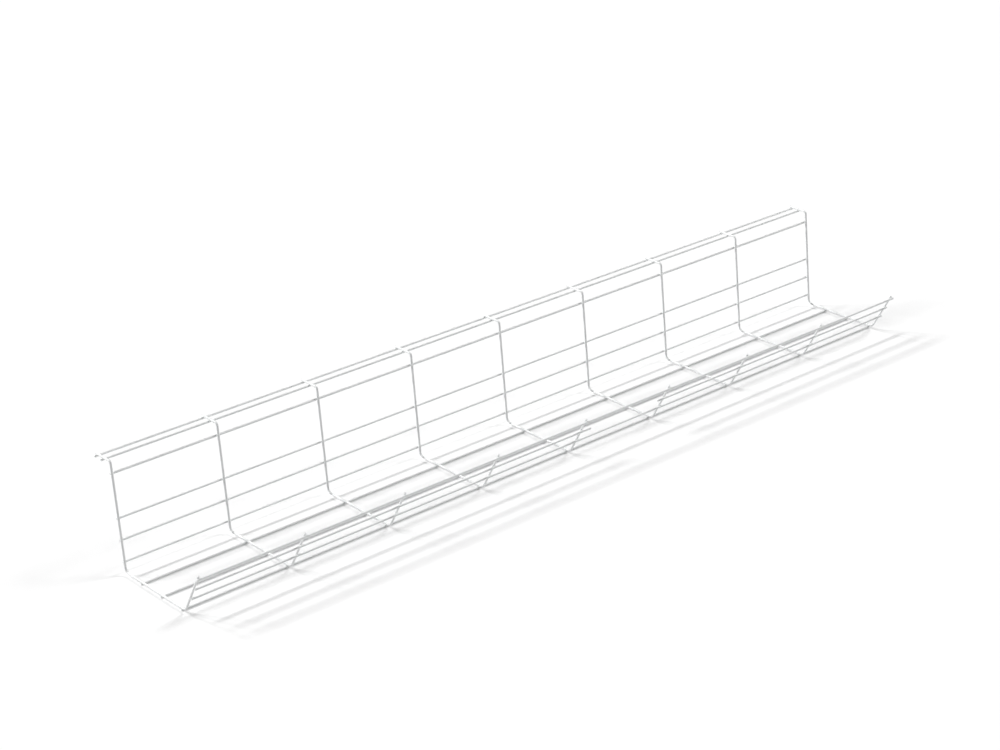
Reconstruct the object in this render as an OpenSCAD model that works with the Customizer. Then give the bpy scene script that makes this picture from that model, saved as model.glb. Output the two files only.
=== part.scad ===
// Wire mesh cable basket for the underside of a desk.
// Bent cross wires carry straight long wires, which are all welded to their outer side.
// X runs along the basket, Y points to the back, Z is up. Lengths are in millimetres.
// The origin is on the floor, under the middle of the basket's bounding box.

/* [Length] */
// Number of bent cross wires
cross_count = 9; // [6:1:12]
// Spacing of the cross wires along the basket
cross_pitch = 150; // [60:5:200]
// How far a long wire runs past the middle of the outermost cross wires
end_overhang = 1; // [0.5:0.5:20]
// How far the flange wires and the top lip wire run past them
rim_overhang = 3.5; // [0.5:0.5:20]

/* [Wire] */
// Diameter of the coated steel wire
wire_d = 3; // [2:0.1:4]
// How deep two crossing wires melt into each other at a weld
weld_sink = 0.2; // [0.1:0.05:0.3]
// How much thicker the coated wire is round each bend, where powder gathers
bend_coat = 0.02; // [0.01:0.01:0.1]

/* [Flange] */
// Length of the flange, from the corner at the wall's top to the cut end
flange_len = 30; // [24:1:60]
// Distance of the outer flange wire from the corner at the wall's top
flange_outer_at = 28; // [20:1:58]
// Distance of the inner flange wire from the corner at the wall's top
flange_inner_at = 15; // [8:1:18]
// Radius of the bend between flange and wall, at the wire's middle
top_bend_r = 4; // [3:0.5:8]

/* [Rear wall] */
// Height of the flange above the floor, between the middles of the wire
wall_h = 139; // [100:0.5:200]
// Angle by which the wall leans back
wall_lean = 6; // [0:0.5:15]
// Height of the lowest long wire on the wall
wall_wire_first = 12; // [8:0.5:20]
// Spacing of the three low wires on the wall
wall_wire_pitch = 27.5; // [12:0.5:35]
// How far the top wire on the wall lies below the flange
wall_wire_drop = 16; // [8:0.5:25]
// Radius of the bend between wall and floor, at the wire's middle
bottom_bend_r = 4.5; // [3:0.5:8]

/* [Floor] */
// Depth of the floor between its two corners
floor_depth = 120.5; // [90:0.5:160]
// Distance of the rearmost floor wire from the rear corner
floor_wire_rear = 32; // [15:0.5:40]
// Distance of the foremost floor wire from the front corner
floor_wire_front = 7.5; // [5:0.5:20]
// Radius of the bend between floor and front lip, at the wire's middle
front_bend_r = 5; // [3:0.5:8]

/* [Front lip] */
// Length of the lip, from the front corner to the cut end
lip_len = 64; // [55:0.5:90]
// Angle by which the lip leans outwards
lip_lean = 28.5; // [0:0.5:45]
// Distance of the low lip wire from the front corner
lip_wire_low_at = 25; // [15:0.5:30]
// Distance of the top lip wire from the lip's cut end
lip_wire_top_drop = 3; // [2:0.5:6]
// Number of the bay that has no middle lip wire, counted from the left
outlet_bay_number = 5; // [2:1:5]
// How far the middle lip wire runs into the outlet bay at each side
outlet_stub = 14; // [5:1:30]

/* [Hidden] */
$fn = 48;
cross_names = [for (i = [1 : cross_count]) str("cross_wire_", i)];
long_names = ["flange_wire_outer", "flange_wire_inner",
    "wall_wire_1", "wall_wire_2", "wall_wire_3", "wall_wire_4",
    "floor_wire_1", "floor_wire_2", "floor_wire_3",
    "lip_wire_low", "lip_wire_mid_left", "lip_wire_mid_right", "lip_wire_top"];

// Distance between the middles of two wires that are welded across each other
weld_gap = wire_d - weld_sink;
// Height of the cross wires' floor legs: they lie on the floor wires
floor_z = wire_d / 2 + weld_gap;

// Corners of the cross wire's middle line as [y, z], with the rear corner at y = 0
rear_corner = [0, floor_z];
top_corner = [wall_h * tan(wall_lean), floor_z + wall_h];
front_corner = [-floor_depth, floor_z];
flange_tip = top_corner + [flange_len, 0];
lip_tip = front_corner + lip_len * [-sin(lip_lean), cos(lip_lean)];

// On the floor and on the lip the third wire lies halfway between the other two
rear_floor_wire_y = rear_corner[0] - floor_wire_rear;
front_floor_wire_y = front_corner[0] + floor_wire_front;
lip_wire_top_at = lip_len - lip_wire_top_drop;
lip_wire_mid_at = (lip_wire_low_at + lip_wire_top_at) / 2;

// Straight way along each leg's outer side, as unit vectors
wall_up = [sin(wall_lean), cos(wall_lean)];
wall_out = [cos(wall_lean), -sin(wall_lean)];
lip_up = [-sin(lip_lean), cos(lip_lean)];
lip_out = [-cos(lip_lean), -sin(lip_lean)];

// Middle of a long wire on the lip, at a distance from the front corner, as [y, z]
function lip_seat(distance) = front_corner + distance * lip_up + weld_gap * lip_out;

// The outline reaches from the lip's cut end or top wire to the flange's cut end or outer wire
back_y = max(flange_tip[0], top_corner[0] + flange_outer_at + wire_d / 2);
lip_tip_front = lip_tip + wire_d / 2 * lip_out;
top_lip_seat = lip_seat(lip_wire_top_at);
front_y = min(lip_tip_front[0], top_lip_seat[0] - wire_d / 2);
middle_y = (back_y + front_y) / 2;

// Place along X of the cross wire with a given number, counted from 1 at the left
function cross_x(number) = (number - (cross_count + 1) / 2) * cross_pitch;
left_end = cross_x(1) - end_overhang;
right_end = cross_x(cross_count) + end_overhang;
rim_left_end = cross_x(1) - rim_overhang;
rim_right_end = cross_x(cross_count) + rim_overhang;

// Angle of the turn at each bend, and the length that the bend takes from its two legs
wall_turn = 90 - wall_lean;
lip_turn = 90 - lip_lean;
function corner_cut(r, turn) = r * tan(turn / 2);
top_cut = corner_cut(top_bend_r, wall_turn);
bottom_cut = corner_cut(bottom_bend_r, wall_turn);
front_cut = corner_cut(front_bend_r, lip_turn);

// Straight legs and bends of a cross wire, in the order in which it is bent
cross_legs = [flange_len - top_cut,
    wall_h / cos(wall_lean) - top_cut - bottom_cut,
    floor_depth - bottom_cut - front_cut,
    lip_len - front_cut];
cross_turns = [wall_turn, -wall_turn, -lip_turn];
cross_radii = [top_bend_r, bottom_bend_r, front_bend_r];

// How far a straight leg reaches into the bends at its ends, so that they are one solid
leg_lap = 0.05;

// One bend that starts at the origin along +X and turns to the left, or to the right if negative
module bend(turn, r) {
    rotate([turn < 0 ? 180 : 0, 0, 0])
        translate([0, r, 0])
            rotate([0, 0, -90])
                rotate_extrude(angle = abs(turn))
                    translate([r, 0])
                        circle(d = wire_d + bend_coat);
}

// A straight length of wire along +X, from start to end
module straight(start, end) {
    translate([start, 0, 0])
        rotate([0, 90, 0])
            cylinder(d = wire_d, h = end - start);
}

// A wire bent as on a bending machine: a leg, a bend, and then the rest from there
module bent_wire(legs, turns, radii, step = 0) {
    last = len(turns);
    straight(step == 0 ? 0 : -leg_lap, legs[step] + (step == last ? 0 : leg_lap));
    if (step < last) {
        side = sign(turns[step]) * radii[step];
        translate([legs[step], 0, 0]) {
            bend(turns[step], radii[step]);
            translate([0, side, 0])
                rotate([0, 0, turns[step]])
                    translate([0, -side, 0])
                        bent_wire(legs, turns, radii, step + 1);
        }
    }
}

// A cross wire: flange, rear wall, floor and front lip in one piece
module cross_wire(number) {
    color("white")
        translate([cross_x(number), -middle_y, 0])
            rotate([90, 0, 90])
                translate(flange_tip)
                    rotate([0, 0, 180])
                        bent_wire(cross_legs, cross_turns, cross_radii);
}

// A long wire from one place along X to another, at a [y, z] seat of the profile
module long_wire(seat, from_x = left_end, to_x = right_end) {
    color("ghostwhite")
        translate([0, seat[0] - middle_y, seat[1]])
            straight(from_x, to_x);
}

module flange_wire(distance) {
    long_wire(top_corner + [distance, -weld_gap], rim_left_end, rim_right_end);
}

module wall_wire(height) {
    long_wire(rear_corner + height / cos(wall_lean) * wall_up + weld_gap * wall_out);
}

module floor_wire(y) {
    long_wire([y, floor_z - weld_gap]);
}

module lip_wire(distance, from_x = left_end, to_x = right_end) {
    long_wire(lip_seat(distance), from_x, to_x);
}

for (number = [1 : cross_count])
    cross_wire(number);
flange_wire(flange_outer_at);  // flange_wire_outer
flange_wire(flange_inner_at);  // flange_wire_inner
wall_wire(wall_wire_first);  // wall_wire_1
wall_wire(wall_wire_first + wall_wire_pitch);  // wall_wire_2
wall_wire(wall_wire_first + 2 * wall_wire_pitch);  // wall_wire_3
wall_wire(wall_h - wall_wire_drop);  // wall_wire_4
floor_wire(rear_floor_wire_y);  // floor_wire_1
floor_wire((rear_floor_wire_y + front_floor_wire_y) / 2);  // floor_wire_2
floor_wire(front_floor_wire_y);  // floor_wire_3
lip_wire(lip_wire_low_at);  // lip_wire_low
lip_wire(lip_wire_mid_at, to_x = cross_x(outlet_bay_number) + outlet_stub);  // lip_wire_mid_left
lip_wire(lip_wire_mid_at, from_x = cross_x(outlet_bay_number + 1) - outlet_stub);  // lip_wire_mid_right
lip_wire(lip_wire_top_at, rim_left_end, rim_right_end);  // lip_wire_top
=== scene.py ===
# %% [markdown]
# # A welded wire cable basket
# The basket hangs under a desk and carries cables. It is made of steel wire only: nine bent cross wires, and
# straight long wires welded across them, all under one white powder coat. Most of the work is in getting
# three things right: the bends, the places where two wires melt into each other, and the thin white coat that
# lies over both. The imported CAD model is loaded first, because the sizes below are measured on it.

from math import atan2, ceil, cos, degrees, pi, radians, sin, sqrt, tan

import bmesh
import bpy
from mathutils import Matrix, Vector


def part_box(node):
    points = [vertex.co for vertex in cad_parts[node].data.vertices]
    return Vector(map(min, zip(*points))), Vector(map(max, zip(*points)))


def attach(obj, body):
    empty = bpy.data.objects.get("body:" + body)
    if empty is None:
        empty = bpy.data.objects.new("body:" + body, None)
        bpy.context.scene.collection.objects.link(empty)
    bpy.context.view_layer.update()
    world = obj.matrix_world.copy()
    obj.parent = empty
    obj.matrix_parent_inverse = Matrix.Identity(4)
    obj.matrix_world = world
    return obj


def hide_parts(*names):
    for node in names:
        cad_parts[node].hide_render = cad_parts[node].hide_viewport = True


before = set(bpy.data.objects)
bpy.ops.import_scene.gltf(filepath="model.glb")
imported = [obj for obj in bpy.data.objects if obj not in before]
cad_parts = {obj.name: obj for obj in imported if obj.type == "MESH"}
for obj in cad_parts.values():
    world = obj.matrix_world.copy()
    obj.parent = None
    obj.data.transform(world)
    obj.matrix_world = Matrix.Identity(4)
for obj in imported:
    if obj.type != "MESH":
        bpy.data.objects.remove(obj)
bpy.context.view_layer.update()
mm = 0.001

# %% [markdown]
# ## The section of the basket
# A learner could copy the profile's sizes into this script by hand, but then a change in the CAD model would
# leave the looks behind. It is safer to measure. Each long wire's box gives its middle line, and the long
# wires of one side lie in one straight row, which gives that side's slope. A cross wire's legs run parallel
# to these rows, one weld gap away, and where two legs would meet there is a corner to be bent. Only what no
# box gives away is a number of its own: how deep a weld sinks, and the radii of the bends.

# %% Middle lines of the long wires
cross_names = sorted(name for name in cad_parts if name.startswith("cross_wire"))
long_names = sorted(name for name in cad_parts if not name.startswith("cross_wire"))


def middle(node):
    """Middle of a CAD node's box."""
    low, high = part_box(node)
    return (low + high) / 2


wire_low, wire_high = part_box("floor_wire_1")
wire_r = (wire_high.z - wire_low.z) / 2
weld_sink = 0.2 * mm
weld_gap = 2 * wire_r - weld_sink
cross_x = [middle(name).x for name in cross_names]
print(len(cross_names), "cross wires and", len(long_names), "long wires of", round(2 * wire_r / mm, 2), "mm")

# %% Straight legs of a cross wire
# A leg is a point on its middle line and a direction. Its long wires lie on the side that "out" points to.
sideways, rear, up = Vector((1, 0, 0)), Vector((0, 1, 0)), Vector((0, 0, 1))


def row(first, last):
    """Middle of the first long wire in a row, and the direction from there to the last one."""
    start = middle(first) * Vector((0, 1, 1))
    end = middle(last) * Vector((0, 1, 1))
    return start, (end - start).normalized()


def leg_behind(first, last, out):
    """Middle line of the leg that carries a row of long wires, as a point and a direction."""
    start, along = row(first, last)
    return start - out * weld_gap, along


def square_to(along, towards):
    """The direction square to a leg, in the section's plane, on the side that towards points to."""
    square = Vector((0, -along.z, along.y))
    return square if square.dot(towards) > 0 else -square


wall_out = square_to(row("wall_wire_1", "wall_wire_4")[1], rear)
lip_out = square_to(row("lip_wire_low", "lip_wire_top")[1], -rear)
flange_leg = leg_behind("flange_wire_inner", "flange_wire_outer", -up)
wall_leg = leg_behind("wall_wire_1", "wall_wire_4", wall_out)
floor_leg = leg_behind("floor_wire_1", "floor_wire_3", -up)
lip_leg = leg_behind("lip_wire_low", "lip_wire_top", lip_out)
print("wall leans", round(degrees(atan2(wall_leg[1].y, wall_leg[1].z)), 1), "degrees back,",
      "lip", round(degrees(atan2(-lip_leg[1].y, lip_leg[1].z)), 1), "degrees forward")

# %% Corners and ends of a cross wire


def meeting(leg_a, leg_b):
    """Point where the middle lines of two legs would cross."""
    (p, along_p), (q, along_q) = leg_a, leg_b
    across = Vector((0, -along_q.z, along_q.y))
    return p + along_p * ((q - p).dot(across) / along_p.dot(across))


def at_y(leg, y):
    """Point on a leg's middle line at a given depth."""
    point, along = leg
    return point + along * ((y - point.y) / along.y)


# The lip's end is cut square to its slope, so the box reaches past its middle line to the edge of the cut.
cross_low, cross_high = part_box(cross_names[0])
corners = [
    at_y(flange_leg, cross_high.y),
    meeting(flange_leg, wall_leg),
    meeting(wall_leg, floor_leg),
    meeting(floor_leg, lip_leg),
    at_y(lip_leg, cross_low.y + wire_r * abs(lip_out.y)),
]
# The press bends a wire round a pin, one size of pin per corner. These are the radii of the middle line.
bend_radii = [4 * mm, 6 * mm, 9 * mm]
leg_lengths = [(b - a).length / mm for a, b in zip(corners, corners[1:])]
print("flange, wall, floor and lip in mm:", [round(length, 1) for length in leg_lengths])

# %% [markdown]
# ## A wire as a mesh
# The quick way to a wire is a curve with a bevel depth. It gives sharp flat ends, though, and no say in where
# its rings lie. Here the wire is swept by hand: a ring of points is carried along the path, close together
# in the bends and far apart on the straight, and the last rings shrink round the edge of the cut. A sheared
# wire has a small burr there, which the powder rounds over. All points along a path come from its corners and
# radii, so a bend stays round when a leg changes its length.

# %% Path with rounded corners
bend_step = radians(5)
straight_step = 20 * mm


def rounded_path(points, radii):
    """The points of a bent wire: straight legs with an arc of the given radius at each inner point."""
    path = [points[0]]
    for before, corner, after, radius in zip(points, points[1:], points[2:], radii):
        come, go = (corner - before).normalized(), (after - corner).normalized()
        turn = come.angle(go)
        start = corner - come * radius * tan(turn / 2)
        inward = (go - come * cos(turn)).normalized()
        steps = ceil(turn / bend_step)
        for k in range(steps + 1):
            angle = turn * k / steps
            path.append(start + come * radius * sin(angle) + inward * radius * (1 - cos(angle)))
    return path + [points[-1]]


def divided(path):
    """The same path with extra points on its long straight stretches."""
    fine = [path[0]]
    for a, b in zip(path, path[1:]):
        parts = max(1, round((b - a).length / straight_step))
        fine += [a.lerp(b, k / parts) for k in range(1, parts + 1)]
    return fine


# %% Directions along the path


def directions(path):
    """The direction at each point, halfway between those of the stretches before and after it."""
    found = []
    for k in range(len(path)):
        ahead = path[min(k + 1, len(path) - 1)] - path[k]
        behind = path[k] - path[max(k - 1, 0)]
        found.append((ahead.normalized() + behind.normalized()).normalized())
    return found


# %% Rounded edge of a cut end
cut_round = 0.4 * mm
cut_steps = 3


def cut_edge():
    """Distance from the cut and radius of each ring, from where the rounding starts to the flat end."""
    edge = []
    for k in range(cut_steps + 1):
        angle = pi / 2 * k / cut_steps
        edge.append((cut_round * (1 - sin(angle)), wire_r - cut_round * (1 - cos(angle))))
    return edge


for inset, radius in cut_edge():
    print("ring", round(inset / mm, 2), "mm from the cut, with a radius of", round(radius / mm, 2), "mm")

# %% A skin over rings


def join_rings(mesh_maker, rings):
    """Joins each ring of points to the next one with smooth faces, and closes both ends with a flat face."""
    for ring, following in zip(rings, rings[1:]):
        for n in range(len(ring)):
            m = (n + 1) % len(ring)
            mesh_maker.faces.new((ring[n], ring[m], following[m], following[n])).smooth = True
    mesh_maker.faces.new(rings[0][::-1])
    mesh_maker.faces.new(rings[-1])


def finished_piece(name, mesh_maker):
    """Makes an object of the new faces, once they all point outwards."""
    bmesh.ops.recalc_face_normals(mesh_maker, faces=mesh_maker.faces)
    mesh = bpy.data.meshes.new(name)
    mesh_maker.to_mesh(mesh)
    mesh_maker.free()
    piece = bpy.data.objects.new(name, mesh)
    bpy.context.scene.collection.objects.link(piece)
    return piece


# %% Sweep a ring along the path
ring_sides = 24


def swept_wire(name, path, side):
    """A round wire along a flat path, rounded at its cut ends. side is square to the path's plane."""
    path = divided(path)
    tangents = directions(path)
    head = [(path[0] + tangents[0] * inset, tangents[0], radius) for inset, radius in reversed(cut_edge())]
    between = [(point, tangent, wire_r) for point, tangent in zip(path[1:-1], tangents[1:-1])]
    tail = [(path[-1] - tangents[-1] * inset, tangents[-1], radius) for inset, radius in cut_edge()]
    mesh_maker = bmesh.new()
    rings = []
    for point, tangent, radius in head + between + tail:
        other = tangent.cross(side)
        ring = []
        for n in range(ring_sides):
            angle = 2 * pi * n / ring_sides
            ring.append(mesh_maker.verts.new(point + radius * (side * cos(angle) + other * sin(angle))))
        rings.append(ring)
    join_rings(mesh_maker, rings)
    return finished_piece(name, mesh_maker)


def ride_on_basket(piece, *nodes):
    """Every wire is welded to the rest, so it rides on the one body, and the CAD nodes that it replaces are
    hidden.
    """
    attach(piece, "root")
    if nodes:
        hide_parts(*nodes)
    return piece


# %% The nine bent cross wires
section = rounded_path(corners, bend_radii)
wires = []
for name, x in zip(cross_names, cross_x):
    path = [point + sideways * x for point in section]
    wires.append(ride_on_basket(swept_wire("bent_" + name, path, sideways), name))
print("a bent wire has", len(wires[0].data.polygons), "faces")

# %% The long wires
lengths = []
for name in long_names:
    low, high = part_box(name)
    centre = middle(name)
    path = [Vector((low.x, centre.y, centre.z)), Vector((high.x, centre.y, centre.z))]
    wires.append(ride_on_basket(swept_wire("drawn_" + name, path, up), name))
    lengths.append(round((high.x - low.x) / mm))
print("long wires of", sorted(set(lengths)), "mm")

# %% [markdown]
# ## The welds
# Each crossing is resistance welded: current melts both wires where they touch, they sink a little into each
# other and metal is squeezed out into the gap. Powder then gathers there. The eye sees a small concave
# collar between the wires. A boolean or a remesh of the whole basket would melt them for real, but would
# cost millions of faces. A small ring of its own per weld gives the same collar: it follows the line at which
# the gap between the two round wires has grown to the collar's height, and its ends dip into both wires.

# %% Where a collar ends
# The reach of a collar is searched for: each halving narrows the range, and 30 leave no error to see.
collar_height = 0.4 * mm
halvings = 30


def surface_height(offset):
    """Height of a lying wire's surface over its middle line, at a distance to the side of that line."""
    return sqrt(wire_r ** 2 - offset ** 2)


def collar_reach(angle):
    """Distance from the weld's middle at which the gap between the wires is as high as the collar."""
    near, far = 0, wire_r / max(abs(cos(angle)), abs(sin(angle)))
    for _ in range(halvings):
        reach = (near + far) / 2
        gap = weld_gap - surface_height(reach * sin(angle)) - surface_height(reach * cos(angle))
        if gap < collar_height:
            near = reach
        else:
            far = reach
    return reach


print("a collar reaches", round(collar_reach(0) / mm, 2), "mm along a wire and",
      round(collar_reach(pi / 4) / mm, 2), "mm between the wires")

# %% One collar
# Its side curves in by collar_hollow, and its ends bite into both wires so that no gap shows.
collar_hollow = 0.12 * mm
collar_bite = 0.12 * mm
collar_sides = 20
collar_rows = 5


def add_collar(mesh_maker, leg_point, leg_along, out):
    """Adds the collar between a leg and the long wire that is welded across it."""
    half_height = collar_height / 2
    rings = []
    for k in range(collar_rows):
        level = 2 * k / (collar_rows - 1) - 1
        ring = []
        for n in range(collar_sides):
            angle = 2 * pi * n / collar_sides
            reach = collar_reach(angle)
            height = surface_height(reach * cos(angle)) + half_height + level * (half_height + collar_bite)
            reach -= collar_hollow * (1 - level ** 2)
            ring.append(mesh_maker.verts.new(leg_point + out * height + sideways * reach * cos(angle)
                                             + leg_along * reach * sin(angle)))
        rings.append(ring)
    join_rings(mesh_maker, rings)


# %% All welds as one mesh
# The first word of a long wire's name is the side that it runs along.
sides = {
    "flange": (flange_leg[1], -up),
    "wall": (wall_leg[1], wall_out),
    "floor": (floor_leg[1], -up),
    "lip": (lip_leg[1], lip_out),
}
mesh_maker = bmesh.new()
weld_count = 0
for name in long_names:
    low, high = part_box(name)
    centre = middle(name)
    along, out = sides[name.split("_")[0]]
    for x in cross_x:
        if low.x < x < high.x:
            add_collar(mesh_maker, Vector((x, centre.y, centre.z)) - out * weld_gap, along, out)
            weld_count += 1
weld_collars = ride_on_basket(finished_piece("weld_collars", mesh_maker))
print(weld_count, "welds,", len(weld_collars.data.polygons), "faces")

# %% [markdown]
# ## Powder-coated steel
# The wire is drawn steel, and no bare metal shows. What shows is polyester powder that was sprayed on dry and
# baked until it flowed: an opaque white plastic film, so the shader is a dielectric with the usual IOR of
# 1.5 and no metallic. Baked powder doesn't flow quite flat. It keeps a faint ripple, the orange peel, which
# breaks up the highlight, and it is a little rougher in some places than in others.

# %% Colours


def linear(hex_colour):
    """An sRGB hex colour as the linear values that a shader works with."""
    channels = [int(hex_colour[k:k + 2], 16) / 255 for k in (1, 3, 5)]
    return tuple(c / 12.92 if c <= 0.04045 else ((c + 0.055) / 1.055) ** 2.4 for c in channels) + (1,)


# %% A helper for nodes


def add_node(tree, kind, settings=None, links=None):
    """Adds a node, sets its properties and inputs, and links the inputs that links names or counts."""
    node = tree.nodes.new(kind)
    for key, value in (settings or {}).items():
        if isinstance(key, str) and hasattr(node, key):
            setattr(node, key, value)
        else:
            node.inputs[key].default_value = value
    for key, socket in (links or {}).items():
        tree.links.new(socket, node.inputs[key])
    return node


# %% The coat
# A ripple of baked powder is about 1.5 mm from crest to crest and a few micrometres deep. The film is thicker
# in some places than in others, over a few centimetres, which shifts its white and its gloss a little.
ripple_size = 1.5 * mm
ripple_depth = 0.006 * mm
patch_size = 40 * mm
thin_white, thick_white = "#eff1f1", "#f5f6f6"
glossiest, dullest = 0.34, 0.44


def powder_coated_steel():
    """White satin polyester powder on drawn steel wire."""
    material = bpy.data.materials.new("powder_coated_steel")
    material.use_nodes = True
    tree = material.node_tree
    tree.nodes.clear()
    place = add_node(tree, "ShaderNodeTexCoord").outputs["Object"]
    ripple = add_node(tree, "ShaderNodeTexNoise", {"Scale": 1 / ripple_size, "Detail": 2, "Roughness": 0.4},
                      {"Vector": place})
    patches = add_node(tree, "ShaderNodeTexNoise", {"Scale": 1 / patch_size, "Detail": 3}, {"Vector": place})
    colour = add_node(tree, "ShaderNodeValToRGB", links={"Fac": patches.outputs["Fac"]})
    for stop, position, white in zip(colour.color_ramp.elements, (0.3, 0.7), (thin_white, thick_white)):
        stop.position = position
        stop.color = linear(white)
    roughness = add_node(tree, "ShaderNodeMapRange", {"To Min": glossiest, "To Max": dullest},
                         {"Value": patches.outputs["Fac"]})
    bump = add_node(tree, "ShaderNodeBump", {"Distance": ripple_depth}, {"Height": ripple.outputs["Fac"]})
    surface = add_node(tree, "ShaderNodeBsdfPrincipled", {"Metallic": 0, "IOR": 1.5}, {
        "Base Color": colour.outputs["Color"],
        "Roughness": roughness.outputs["Result"],
        "Normal": bump.outputs["Normal"],
    })
    add_node(tree, "ShaderNodeOutputMaterial", links={"Surface": surface.outputs["BSDF"]})
    return material


coat = powder_coated_steel()
for piece in wires + [weld_collars]:
    piece.data.materials.append(coat)
print("coat on", len(wires) + 1, "pieces")

# %% [markdown]
# ## The floor
# The basket stands on matt white paper, and one large plane is enough for it. Lit paper isn't quite white,
# but more light would wash out the white wires on it. So the paper also glows a little, and only towards the
# camera, in reflections and through glass. That lifts its lit parts to white, keeps the shadows and casts no
# light on the wires. The same switch serves the world further down.

# %% What the eye sees


def seen_by_eye(tree):
    """One for rays from the camera, in reflections and through glass, and nothing for light on a surface."""
    rays = add_node(tree, "ShaderNodeLightPath").outputs
    direct = add_node(tree, "ShaderNodeMath", {"operation": "MAXIMUM"},
                      {0: rays["Is Camera Ray"], 1: rays["Is Glossy Ray"]})
    return add_node(tree, "ShaderNodeMath", {"operation": "MAXIMUM"},
                    {0: direct.outputs[0], 1: rays["Is Transmission Ray"]}).outputs[0]


# %% Matt paper
paper_white = "#e7e7e7"
floor_glow = 0.17


def white_floor():
    """Matt paper white, lifted to pure white for the eye."""
    material = bpy.data.materials.new("white_floor")
    material.use_nodes = True
    tree = material.node_tree
    tree.nodes.clear()
    strength = add_node(tree, "ShaderNodeMath", {"operation": "MULTIPLY", 1: floor_glow},
                        {0: seen_by_eye(tree)})
    paper = add_node(tree, "ShaderNodeBsdfDiffuse", {"Color": linear(paper_white)})
    glow = add_node(tree, "ShaderNodeEmission", links={"Strength": strength.outputs[0]})
    both = add_node(tree, "ShaderNodeAddShader", links={0: paper.outputs[0], 1: glow.outputs[0]})
    add_node(tree, "ShaderNodeOutputMaterial", links={"Surface": both.outputs[0]})
    return material


# %% Floor
floor_side = 16
bpy.ops.mesh.primitive_plane_add(size=floor_side)
floor = bpy.context.object
floor.name = "studio_floor"
floor.data.materials.append(white_floor())
print("floor of", floor_side, "by", floor_side, "m")

# %% [markdown]
# ## The light
# The main light is a long soft box behind the basket, high up and a little to the left. So the wires show
# their shaded side and throw their shadows to the front, crisp near a low wire and blurred under a high one.
# The long wires run along the box and keep clear shadows, while the bent wires run across it and their
# shadows nearly dissolve. One area lamp of that shape would do, but it lights a wide floor unevenly and turns
# its far parts grey. Three suns in a row give the same shadows on a floor that stays even. A softer, weaker
# light comes from the front right, and a dim world fills the rest.

# %% World
# The world looks white beyond the floor's edge, but lights the basket at a strength of only world_light.
world_light = 0.16
world = bpy.data.worlds.new("studio")
bpy.context.scene.world = world
world.use_nodes = True
sky = world.node_tree
strength = add_node(sky, "ShaderNodeMath", {"operation": "MULTIPLY_ADD", 1: 1 - world_light, 2: world_light},
                    {0: seen_by_eye(sky)})
background = sky.nodes["Background"]
background.inputs["Color"].default_value = (1, 1, 1, 1)
sky.links.new(strength.outputs[0], background.inputs["Strength"])

# %% Lamps
# A lamp's direction is the shift of a shadow per unit of height. Its share is the part of the floor's light
# that it gives, from which the strength follows: a floor lit at strength pi looks as bright as its colour.
# The three suns of the long box stand a little further apart than they are wide.
strip_shifts = [(0.3, -1.02), (0.65, -1.02), (1, -1.02)]
strip_share, strip_width = 0.2, radians(9)
front_shift = (-0.73, 0.3)
front_share, front_width = 0.3, radians(14)


def add_lamp(name, shadow_shift, share, width):
    """A distant lamp that moves the shadow of a point one unit up by shadow_shift on the floor."""
    ray = Vector((*shadow_shift, -1)).normalized()
    lamp = bpy.data.lights.new(name, "SUN")
    lamp.energy = share * pi / -ray.z
    lamp.angle = width
    holder = bpy.data.objects.new(name, lamp)
    holder.rotation_euler = ray.to_track_quat("-Z", "Y").to_euler()
    bpy.context.scene.collection.objects.link(holder)
    print(name, "stands", round(degrees(atan2(1, Vector(shadow_shift).length))), "degrees above the floor")


for number, shift in enumerate(strip_shifts):
    add_lamp(f"strip_light_{number + 1}", shift, strip_share, strip_width)
add_lamp("front_light", front_shift, front_share, front_width)

# %% [markdown]
# ## The camera
# The camera looks down at the inside of the basket from its left front corner. From close by, a wide lens
# would make the near end of so long an object swell and its far end shrink. A long lens from three metres
# away keeps the eight bays nearly equal.

# %% Camera
# The lens is about 85 mm long on a full-frame camera, which is held half a degree out of level.
camera_place = Vector((-1880.15, -2040.36, 1345.81)) * mm
camera_azimuth = radians(41.7222)
camera_drop = radians(24.3444)
camera_roll = radians(0.489)
lens_length = 84.851

camera_view = Vector((sin(camera_azimuth) * cos(camera_drop), cos(camera_azimuth) * cos(camera_drop),
                      -sin(camera_drop)))
camera = bpy.data.cameras.new("camera")
camera.lens = lens_length
camera.sensor_width = 36
camera.clip_end = 50
camera_holder = bpy.data.objects.new("camera", camera)
turn = camera_view.to_track_quat("-Z", "Y").to_matrix().to_4x4()
camera_holder.matrix_world = Matrix.Translation(camera_place) @ turn @ Matrix.Rotation(-camera_roll, 4, "Z")
bpy.context.scene.collection.objects.link(camera_holder)
bpy.context.scene.camera = camera_holder
bpy.context.scene.view_settings.view_transform = "Standard"
print("camera", round(camera_place.length, 2), "m away, with a lens of", round(lens_length), "mm")
